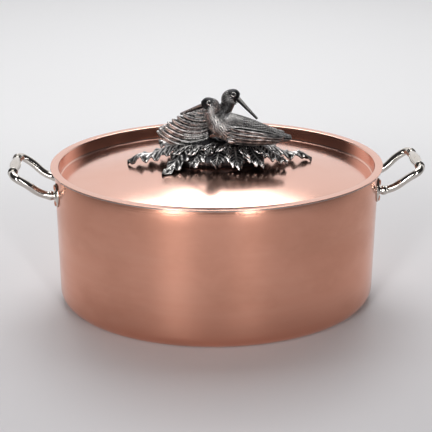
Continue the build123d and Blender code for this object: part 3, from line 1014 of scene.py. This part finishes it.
# Spine stations from tail to bill root: x, y, z over the rim, half width, half height; millimetres
FRONT_SPINE = [
    (67, -15, 28, 3, 1.0),
    (61, -15, 28.6, 6, 2.4),
    (51, -14.5, 30, 9, 5.4),
    (39, -14, 32.5, 11.5, 9.4),
    (26, -13.5, 35, 13, 12.2),
    (13, -13, 38, 13, 13.2),
    (3, -12.5, 42, 11.5, 11.5),
    (-2.5, -12, 48, 9.2, 9.0),
    (-5, -12, 53.5, 7.6, 7.6),
    (-6, -12, 58.5, 7.2, 7.6),
    (-10, -11.4, 61.5, 5.8, 5.6),
    (-14.5, -10.4, 60.5, 2.6, 2.6),
]
FRONT_TIP = (-34.0, 1.5, 47.5)
REAR_SPINE = [
    (-54, 8, 30, 4, 1.2),
    (-47, 8, 30, 8, 3.2),
    (-37, 8.5, 31, 11, 6.6),
    (-25, 9, 33, 13.5, 11.5),
    (-11, 9, 37, 12.5, 12.6),
    (0, 9, 42, 9.8, 10.4),
    (6.5, 9, 48, 7.0, 7.2),
    (10, 9, 54, 5.8, 6.2),
    (12, 9, 60, 6.8, 7.4),
    (16.5, 9, 63, 5.8, 5.6),
    (20.5, 9, 61.5, 2.4, 2.6),
]
REAR_TIP = (38.0, 9.0, 39.5)

# Half-opened wing of the rear bird: feather tips from the lowest to the highest, root x and heights, sag
OPEN_WING_TIPS = [(-56.0, 34.0), (-50.0, 39.5), (-42.0, 44.5), (-32.0, 48.8), (-20.0, 53.0)]
OPEN_WING_ROOT = (-7.0, (25.0, 50.5))
OPEN_WING_SAG = 9.5
OPEN_WING_AWAY = (15.0, 7.5)
FAR_WING_DROP = 13.0
FAR_WING_REACH = 0.8
REAR_MIDDLE = 9.0
BODY_ROWS = 110
BODY_SIDES = 56
# Relief of every underside: kept low, so undersides take dark oxide and painted shade
UNDERSIDE_OXIDE_AND_SHADE = 0.1
FEATHER_SHEET = 0.8 * MM
FLIGHT_SHEET = 0.9 * MM
FEATHER_COLUMNS = 10
FOLDED_ROWS = 26
OPEN_ROWS = 30
BARB_TURN = 1.57
OPEN_FEATHERS = 9
COVERT_ROWS = 11
COVERT_COLUMNS = 9
FEATHER_HALF = 0.36
FEATHER_CROWN = 0.10
FEATHER_SHAFT = 0.04
FEATHER_TIP_LIFT = 0.16
BILL_STEPS = 24
BILL_SIDES = 14
BILL_SINK = 2.5 * MM
BILL_LOW = 0.6 * MM
BILL_ROOT = 2.1
BILL_END = 0.95
BILL_POINT = 0.75
EYE_RADIUS = 1.35 * MM
EYE_ANGLE = 1.15
EYE_SHARE = 0.885
EYE_STEPS = 24
BALL_RINGS = 12
BALL_SIDES = 20


def spine_place(spine, share):
    """Centre, half width and half height of a bird's body at a share from tail to bill."""
    x, y, z, wide, high = curve_value(spine, share)
    return Vector((x * MM, y * MM, z * MM + RIM_Z)), max(0.3, wide) * MM, max(0.3, high) * MM


def skin_point(spine, share, angle):
    """Point on the body's skin; angle 0 is the back and a right angle is the -Y flank."""
    here, wide, high = spine_place(spine, share)
    ahead = spine_place(spine, min(1.0, share + 0.01))[0]
    behind = spine_place(spine, max(0.0, share - 0.01))[0]
    along = (ahead - behind).normalized()
    facing = math.copysign(1.0, spine[-1][0] - spine[0][0])
    up = Vector((-along.z, 0.0, along.x)).normalized() * facing
    side = square_to(Vector((0.0, -1.0, 0.0)), along)
    return here + side * (math.sin(angle) * wide) + up * (math.cos(angle) * high)


def body_point(spine, share, angle):
    """Skin point with its direction to the tail and its outward normal."""
    near = min(max(share, 0.012), 0.988)
    spot = skin_point(spine, share, angle)
    tailward = (skin_point(spine, near - 0.012, angle) - skin_point(spine, near + 0.012, angle)).normalized()
    around = skin_point(spine, share, angle + 0.05) - skin_point(spine, share, angle - 0.05)
    outward = tailward.cross(around).normalized()
    if outward.dot(spot - spine_place(spine, share)[0]) < 0.0:
        outward = -outward
    return spot, tailward, outward


def body_shell(form, spine):
    """The plain closed body under the feathers."""
    start = len(form.points)
    for share in shares(BODY_ROWS):
        for angle in turns(BODY_SIDES):
            spot, _, _ = body_point(spine, share, angle)
            form.points.append(spot)
            fine = noise.noise(spot * 900.0)
            # Low relief darkens the body between the feathers: oxide and painted shade in the gaps
            form.relief.append(0.18 + 0.25 * fine)
    close_rings(form, start, BODY_SIDES)


def feather_piece(name, length_rows, half_columns, material):
    """One feather of unit length along +X, root at the origin, ribbed down its middle."""
    form = Form()
    columns = 2 * half_columns
    for share in shares(length_rows):
        half = FEATHER_HALF * (math.sin(math.pi * (0.12 + 0.80 * share)) ** 0.6) * (1.0 - share**5)
        for column in range(columns + 1):
            across = column / half_columns - 1.0
            shaft = math.exp(-((across / 0.3) ** 2))
            crown = FEATHER_CROWN * (1.0 - across * across) + FEATHER_SHAFT * shaft
            lift = 0.02 + FEATHER_TIP_LIFT * share
            form.points.append((share, across * half, crown + lift))
            rim = max(abs(across) ** 4, share**4)
            # Lower relief in the middle and at the root of each feather: oxide and painted shade where it
            # tucks under the next
            form.relief.append(0.30 + 0.45 * rim + 0.3 * shaft)
    form.points += [(x, y * 0.96, z - 0.10 - 0.10 * x) for x, y, z in form.points]
    form.fill(UNDERSIDE_OXIDE_AND_SHADE)
    close_sheet(form.faces, 0, length_rows, columns)
    return form.obj(name, material)


def contour_guides(spine, first, last, rows, per_row, sizes):
    """Guides for body feathers in staggered rows from one share of the spine to another."""
    guides = []
    for row in range(rows):
        share = blend(first, last, row / (rows - 1))
        small = blend(sizes[0], sizes[1], row / (rows - 1)) * MM
        count = max(8, int(per_row * spine_place(spine, share)[1] / (12.0 * MM)))
        for step in range(count):
            angle = 2.0 * math.pi * (step + 0.5 * (row % 2)) / count
            spot, tailward, outward = body_point(spine, share, angle)
            jitter = noise.noise(spot * 700.0)
            size = small * (1.0 + 0.18 * jitter)
            sway = outward.cross(tailward) * 0.25 * jitter
            sunk = spot - outward * 0.12 * small
            guides.append((sunk, tailward + sway, outward, (size, size * 1.05, size * 0.75)))
    return guides


def ribbon_feather(form, line, width, thickness):
    """A long flight feather along (point, outward) pairs, with a shaft and fine barbs."""
    columns = FEATHER_COLUMNS
    rows = len(line) - 1
    start = len(form.points)
    tops = []
    for row, (centre, outward) in enumerate(line):
        share = row / rows
        before = line[max(row - 1, 0)][0]
        after = line[min(row + 1, rows)][0]
        along = (after - before).normalized()
        up = square_to(outward, along)
        aside = up.cross(along)
        half = 0.5 * width * min(1.0, 0.35 + 3.0 * share) * math.sqrt(max(0.02, 1.0 - share**7))
        for column in range(columns + 1):
            across = 2.0 * column / columns - 1.0
            shaft = math.exp(-((across / 0.22) ** 2))
            barb = 0.5 + 0.5 * math.sin((share * rows * 0.9 - abs(across) * 2.2) * BARB_TURN)
            crown = (0.16 * (1.0 - across * across) + 0.07 * shaft) * width
            spot = centre + aside * (across * half) + up * (crown + 0.02 * width * barb)
            tops.append((spot, up))
            rim = abs(across) ** 4
            # Lower relief between shaft and rim and at the root: oxide and painted shade
            form.relief.append(0.25 + 0.30 * shaft + 0.40 * rim + 0.15 * barb + 0.2 * share**6)
    form.points += [spot for spot, _ in tops]
    form.points += [spot - up * thickness for spot, up in tops]
    form.fill(UNDERSIDE_OXIDE_AND_SHADE)
    close_sheet(form.faces, start, rows, columns)


def wing_line(spine, ends, angles, lift):
    """A feather's centre line over the flank, from a root share and angle to a tip share and angle."""
    line = []
    for share in shares(FOLDED_ROWS):
        place = blend(*ends, share)
        angle = blend(angles[0], angles[1], share**1.2)
        spot, _, outward = body_point(spine, place, angle)
        line.append((spot + outward * blend(lift[0], lift[1], share), outward))
    return line


def folded_wing(form, spine, side, plan):
    """Layers of long feathers of a folded wing, from the lowest to the highest.

    Each plan row is (root share, root angle, tip share, tip angle, width, lift).
    """
    for root, root_angle, tip, tip_angle, width, lift in plan:
        angles = (math.radians(root_angle) * side, math.radians(tip_angle) * side)
        line = wing_line(spine, (root, tip), angles, (lift * 0.6 * MM, lift * MM))
        ribbon_feather(form, line, width * MM, FEATHER_SHEET)


def fold_plan(count, roots, tips, angles, width, lift):
    """A fan of feathers stepping from the belly edge up to the back."""
    plan = []
    for share in shares(count - 1):
        root_angle = blend(angles[0], angles[1], share)
        tip_angle = blend(angles[2], angles[3], share)
        root = blend(roots[0], roots[1], share)
        tip = blend(tips[0], tips[1], share)
        plan.append((root, root_angle, tip, tip_angle, width, lift + 0.9 * share))
    return plan


def open_wing_line(rank, side):
    """Centre line of one feather of the half-opened wing; rank 0 is the lowest, 1 the highest."""
    tip_x, tip_z = curve_value(OPEN_WING_TIPS, rank)
    root_x, root_z = OPEN_WING_ROOT[0], blend(*OPEN_WING_ROOT[1], rank)
    sag = OPEN_WING_SAG * (1.0 - rank)
    drop = 0.0 if side > 0 else FAR_WING_DROP
    line = []
    for share in shares(OPEN_ROWS):
        z = blend(root_z, tip_z, share) - sag * 4.0 * share * (1.0 - share)
        away = blend(*OPEN_WING_AWAY, rank * rank) - 1.6 * rank * share + 0.5 * math.sin(math.pi * share)
        y = REAR_MIDDLE - side * away
        x = blend(root_x, tip_x, share * (1.0 if side > 0 else FAR_WING_REACH))
        spot = Vector((x * MM, y * MM, (z - drop * share) * MM + RIM_Z))
        line.append((spot, Vector((0.0, -side, 0.25 + 0.5 * rank))))
    return line


def open_wing(form, side):
    """Long curved feathers fanned from the shoulder, the upper ones lying over the lower."""
    for rank in shares(OPEN_FEATHERS - 1):
        width = blend(7.0, 5.0, rank) * MM
        ribbon_feather(form, open_wing_line(rank, side), width, FLIGHT_SHEET)


def open_wing_guides(side):
    """Guides for the small covering feathers over the roots of the half-opened wing."""
    guides = []
    for row, rank in enumerate(shares(COVERT_ROWS - 1)):
        line = open_wing_line(rank, side)
        for step, share in enumerate(shares(COVERT_COLUMNS - 1)):
            index = 1 + int(1.7 * step + 0.9 * (row % 2))
            spot, outward = line[index]
            tipward = line[index + 1][0] - line[index - 1][0]
            size = blend(2.6, 3.8, share) * MM
            lifted = spot + outward.normalized() * blend(1.5, 0.9, share) * MM
            guides.append((lifted, tipward, outward, (size, size, size * 0.8)))
    return guides


def add_bill(form, root, tip):
    """Upper and lower halves of a long straight bill, parted by a fine groove."""
    along = (tip - root).normalized()
    up = along.cross(square_to(Vector((0.0, 1.0, 0.0)), along))
    if up.z < 0.0:
        up = -up
    for half in (1, -1):
        line = []
        for share in shares(BILL_STEPS):
            radius = blend(BILL_ROOT, BILL_END, share**0.8) * MM
            if share > 0.96:
                radius *= BILL_POINT
            centre = root.lerp(tip, share) + up * (half * radius * 0.52)
            line.append((centre, radius * 0.72))
        add_tube(form, line, BILL_SIDES)
        # The lower half gets lower relief than the upper: oxide and painted shade under the bill
        form.fill(0.7 if half > 0 else 0.35)


def add_ball(form, centre, radius, value):
    """A small closed ball."""
    line = []
    for share in shares(BALL_RINGS)[1:-1]:
        angle = math.pi * share
        height = -math.cos(angle) * radius
        line.append((Vector(centre) + Vector((0.0, height, 0.0)), radius * math.sin(angle)))
    add_tube(form, line, BALL_SIDES)
    form.fill(value)


def add_eye(form, spine, share, angle, radius):
    """A round eye in a raised ring on one side of the head."""
    spot, _, outward = body_point(spine, share, angle)
    add_ball(form, spot + outward * 0.15 * radius, radius, 0.02)
    across = square_to(Vector((0.0, 0.0, 1.0)), outward)
    other = outward.cross(across)
    ring = []
    for share in shares(EYE_STEPS):
        turn = 2.0 * math.pi * share
        centre = spot + outward * 0.25 * radius
        centre += (across * math.cos(turn) + other * math.sin(turn)) * radius * 1.35
        ring.append((centre, radius * 0.34))
    add_tube(form, ring, 8)
    form.fill(0.95)


def join_piece(form, mesh):
    """Adds a mesh's geometry and relief to the lists."""
    start = len(form.points)
    form.points += [vertex.co.copy() for vertex in mesh.vertices]
    form.relief += [item.value for item in mesh.attributes["relief"].data]
    form.faces += [tuple(start + index for index in face.vertices) for face in mesh.polygons]


def build_bird(context, name, node, spine, tip, facing, guides_for, plans, wing=None):
    """One bird: body, layered wings, body feathers, bill and eyes."""
    finish = material_for(context, "oxidised_silver_and_shade")
    form = Form()
    body_shell(form, spine)
    for side in (-1, 1):
        for plan in plans:
            folded_wing(form, spine, side, plan)
        if wing:
            wing(form, side)
    small = feather_piece(name + "_feather", 4, 2, finish)
    for guides in guides_for:
        join_piece(form, copies_on_guides(name + "_contours", guides, small, finish))
    bpy.data.objects.remove(small)
    root = spine_place(spine, 1.0)[0] - Vector((facing * BILL_SINK, 0.0, BILL_LOW))
    add_bill(form, root, Vector(tip) * MM + Vector((0.0, 0.0, RIM_Z)))
    for side in (-1, 1):
        add_eye(form, spine, EYE_SHARE, side * EYE_ANGLE, EYE_RADIUS)
    bird = form.obj(name, finish)
    recalculate(bird)
    settle(bird, "lid", node)


def build_front_bird(context):
    """The bird nearest the viewer, facing left with folded wings."""
    spine = FRONT_SPINE
    breast = contour_guides(spine, 0.87, 0.42, 40, 34, (2.1, 3.3))
    back = contour_guides(spine, 0.42, 0.10, 22, 30, (3.4, 4.6))
    plans = [
        fold_plan(5, (0.47, 0.50), (0.16, 0.10), (138, 76, 124, 58), 5.4, 1.3),
        [(0.22, 30, 0.0, 25, 4.6, 0.5), (0.22, 62, 0.0, 55, 4.6, 0.6)],
    ]
    build_bird(context, "front_woodland_bird", "front_bird", spine, FRONT_TIP, -1, [breast, back], plans)


def build_rear_bird(context):
    """The bird behind, facing right with its wings half opened."""
    spine = REAR_SPINE
    breast = contour_guides(spine, 0.85, 0.34, 40, 34, (1.9, 3.2))
    rump = contour_guides(spine, 0.34, 0.10, 12, 26, (3.4, 4.6))
    coverts = [open_wing_guides(side) for side in (-1, 1)]
    plans = [[(0.24, 24, 0.0, 22, 4.6, 0.4), (0.24, 60, 0.0, 55, 4.6, 0.5)]]
    guides = [breast, rump, *coverts]
    build_bird(context, "rear_woodland_bird", "rear_bird", spine, REAR_TIP, 1, guides, plans, open_wing)


def build_fixings(context):
    """Steel finish for the studs, washers and nuts under the lid."""
    for node in ("finial_studs", "finial_washers", "finial_nuts"):
        dress_node(context, node, "plain_steel")


# Stage

CAMERA_PLACE = (-0.05158, -0.9543, 0.4893)
CAMERA_YAW = -0.0531
CAMERA_PITCH = 0.4018
CAMERA_ROLL = 0.0031
CAMERA_LENS = 90.065
SENSOR_WIDTH = 36.0
CAMERA_NEAR = 0.05
FLOOR_HALF = 6.0

# Name, place, target, width, height and power of each lamp
LAMPS = [
    ("left_strip", (-0.53, -1.22, 0.5), (0.0, 0.0, 0.06), 0.2, 0.9, 9.0),
    ("right_strip", (0.37, -1.26, 0.5), (0.0, 0.0, 0.06), 0.1, 0.9, 5.0),
    ("high_back", (0.09, 1.1, 1.45), (0.0, 0.0, 0.15), 0.55, 0.36, 1.7),
    ("overhead", (0.0, 0.9, 2.0), (0.0, 0.6, 0.0), 1.4, 1.4, 26.0),
]


def floor_material():
    """Pale matt studio floor with a very faint grain, and painted light that turns it white towards the back
    while the front stays darker.
    """
    material, kit = new_material("studio_floor")
    grain = kit.noise(kit.place(), 3.0, 2.0, 0.5)
    parts = kit.add("SeparateXYZ", None, {0: kit.place()}).socket.node
    # Painted light: the floor colour brightens towards the back
    painted_far_light = kit.step(Wire(kit, parts.outputs[1]), -0.3, 0.6)
    near = kit.mix(grain, FLOOR_DARK, FLOOR_PALE)
    colour = kit.mix(painted_far_light, near, FLOOR_FAR_PAINTED_LIGHT)
    kit.finish({"Base Color": colour, "Roughness": 0.55})
    return material


def studio_world():
    """White low down behind, dark overhead and towards the viewer; pure white for camera rays."""
    world = bpy.data.worlds.new("studio")
    world.use_nodes = True
    kit = NodeKit(world.node_tree)
    spot = kit.add("TexCoord", output=0)
    parts = kit.add("SeparateXYZ", None, {0: spot}).socket.node
    behind = Wire(kit, parts.outputs[1])
    above = Wire(kit, parts.outputs[2])
    light = kit.step(behind - above * 0.5, 0.0, 0.5)
    tone = kit.mix(light, STUDIO_DARK, STUDIO_PALE)
    soft = kit.add("Background", None, {"Color": tone, "Strength": 1.0})
    white = kit.add("Background", None, {"Color": WHITE, "Strength": 1.0})
    seen = kit.add("LightPath", None, None, 0)
    both = kit.add("MixShader", None, {0: seen, 1: soft, 2: white})
    kit.add("OutputWorld", None, {0: both})
    bpy.context.scene.world = world


def soft_light(name, place, target, width, height, power):
    """A rectangular soft light facing a point."""
    lamp = bpy.data.lights.new(name, "AREA")
    lamp.shape = "RECTANGLE"
    lamp.size = width
    lamp.size_y = height
    lamp.energy = power
    obj = bpy.data.objects.new(name, lamp)
    aim = (Vector(target) - Vector(place)).to_track_quat("-Z", "Y")
    obj.location = place
    obj.rotation_euler = aim.to_euler()
    link_object(obj)


def studio_camera():
    """The viewpoint of the photograph."""
    camera = bpy.data.cameras.new("camera")
    camera.sensor_width = SENSOR_WIDTH
    camera.lens = CAMERA_LENS
    camera.clip_start = CAMERA_NEAR
    obj = bpy.data.objects.new("camera", camera)
    place = Matrix.Translation(CAMERA_PLACE)
    turn = Matrix.Rotation(CAMERA_YAW, 4, "Z") @ Matrix.Rotation(math.pi / 2 - CAMERA_PITCH, 4, "X")
    obj.matrix_world = place @ turn @ Matrix.Rotation(CAMERA_ROLL, 4, "Z")
    link_object(obj)
    bpy.context.scene.camera = obj


def build_stage(context):
    """Floor, world, lights and camera."""
    context.scene.view_settings.view_transform = "Standard"
    corners = [(x * FLOOR_HALF, y * FLOOR_HALF, 0.0) for x, y in ((-1, -1), (1, -1), (1, 1), (-1, 1))]
    mesh_object("floor", corners, [(0, 1, 2, 3)], floor_material())
    studio_world()
    for lamp in LAMPS:
        soft_light(*lamp)
    studio_camera()


# Add-on classes


def colour_setting(name, description, default):
    """A colour of the finish that the sidebar shows."""
    return bpy.props.FloatVectorProperty(
        name=name, description=description, subtype="COLOR", size=4,
        default=default, min=0.0, max=1.0,
    )


class PotFinish(bpy.types.PropertyGroup):
    """Colours and roundings of the finished look."""

    copper: colour_setting("Copper", "Base colour of the copper", (0.76, 0.37, 0.26, 1.0))
    tin: colour_setting("Tin", "Base colour of the tin coats", (0.62, 0.62, 0.61, 1.0))
    handle_metal: colour_setting("Handle Metal", "Base colour of the cast handles", (0.66, 0.62, 0.57, 1.0))
    # Dark of hollows and undersides: real oxide and painted shade
    oxide_and_shade: colour_setting("Oxide", "Colour of the darkened hollows", (0.035, 0.034, 0.036, 1.0))
    rubbed_silver: colour_setting("Rubbed Silver", "Colour of the rubbed ridges", (0.62, 0.60, 0.58, 1.0))
    corner_radius: bpy.props.FloatProperty(
        name="Corner Radius", description="Rounding between wall and floor", unit="LENGTH",
        default=0.015, min=0.004, max=0.03,
    )


class BuildStep:
    """What every build button does: run its own builders."""

    def execute(self, context):
        for builder in self.builders:
            builder(context)
        return {"FINISHED"}


class POT_OT_vessel(BuildStep, bpy.types.Operator):
    """Build the copper vessel and its tin coat"""

    bl_idname = "braising_pot.vessel"
    bl_label = "Build Vessel"
    builders = (build_pot,)


class POT_OT_lid(BuildStep, bpy.types.Operator):
    """Build the copper lid and its tin coat"""

    bl_idname = "braising_pot.lid"
    bl_label = "Build Lid"
    builders = (build_lid,)


class POT_OT_handles(BuildStep, bpy.types.Operator):
    """Build both cast handles and their rivets"""

    bl_idname = "braising_pot.handles"
    bl_label = "Build Handles"
    builders = (build_handles, build_rivets)


class POT_OT_leaves(BuildStep, bpy.types.Operator):
    """Build the leaf bed and dress its fixings"""

    bl_idname = "braising_pot.leaves"
    bl_label = "Build Leaf Bed"
    builders = (build_leaves, build_fixings)


class POT_OT_birds(BuildStep, bpy.types.Operator):
    """Build both birds of the finial"""

    bl_idname = "braising_pot.birds"
    bl_label = "Build Birds"
    builders = (build_front_bird, build_rear_bird)


class POT_OT_stage(BuildStep, bpy.types.Operator):
    """Build the floor, lights and camera"""

    bl_idname = "braising_pot.stage"
    bl_label = "Build Stage"
    builders = (build_stage,)


BUILD_OPERATORS = (POT_OT_vessel, POT_OT_lid, POT_OT_handles, POT_OT_leaves, POT_OT_birds, POT_OT_stage)


class POT_PT_sidebar(bpy.types.Panel):
    """Sidebar panel with the finish settings and the build buttons."""

    bl_label = "Braising Pot"
    bl_idname = "POT_PT_sidebar"
    bl_space_type = "VIEW_3D"
    bl_region_type = "UI"
    bl_category = "Braising Pot"

    def draw(self, context):
        layout = self.layout
        settings = context.scene.pot_finish
        for name in ("copper", "tin", "handle_metal", "oxide_and_shade", "rubbed_silver", "corner_radius"):
            layout.prop(settings, name)
        for operator in BUILD_OPERATORS:
            layout.operator(operator.bl_idname)


CLASSES = (PotFinish, *BUILD_OPERATORS, POT_PT_sidebar)


def register():
    """Registers the add-on."""
    for item in CLASSES:
        bpy.utils.register_class(item)
    bpy.types.Scene.pot_finish = bpy.props.PointerProperty(type=PotFinish)


def unregister():
    """Removes the add-on."""
    del bpy.types.Scene.pot_finish
    for item in reversed(CLASSES):
        bpy.utils.unregister_class(item)


def main():
    """Builds every piece and the stage."""
    register()
    bpy.ops.braising_pot.vessel()
    bpy.ops.braising_pot.lid()
    bpy.ops.braising_pot.handles()
    bpy.ops.braising_pot.leaves()
    bpy.ops.braising_pot.birds()
    bpy.ops.braising_pot.stage()


if __name__ == "__main__":
    main()
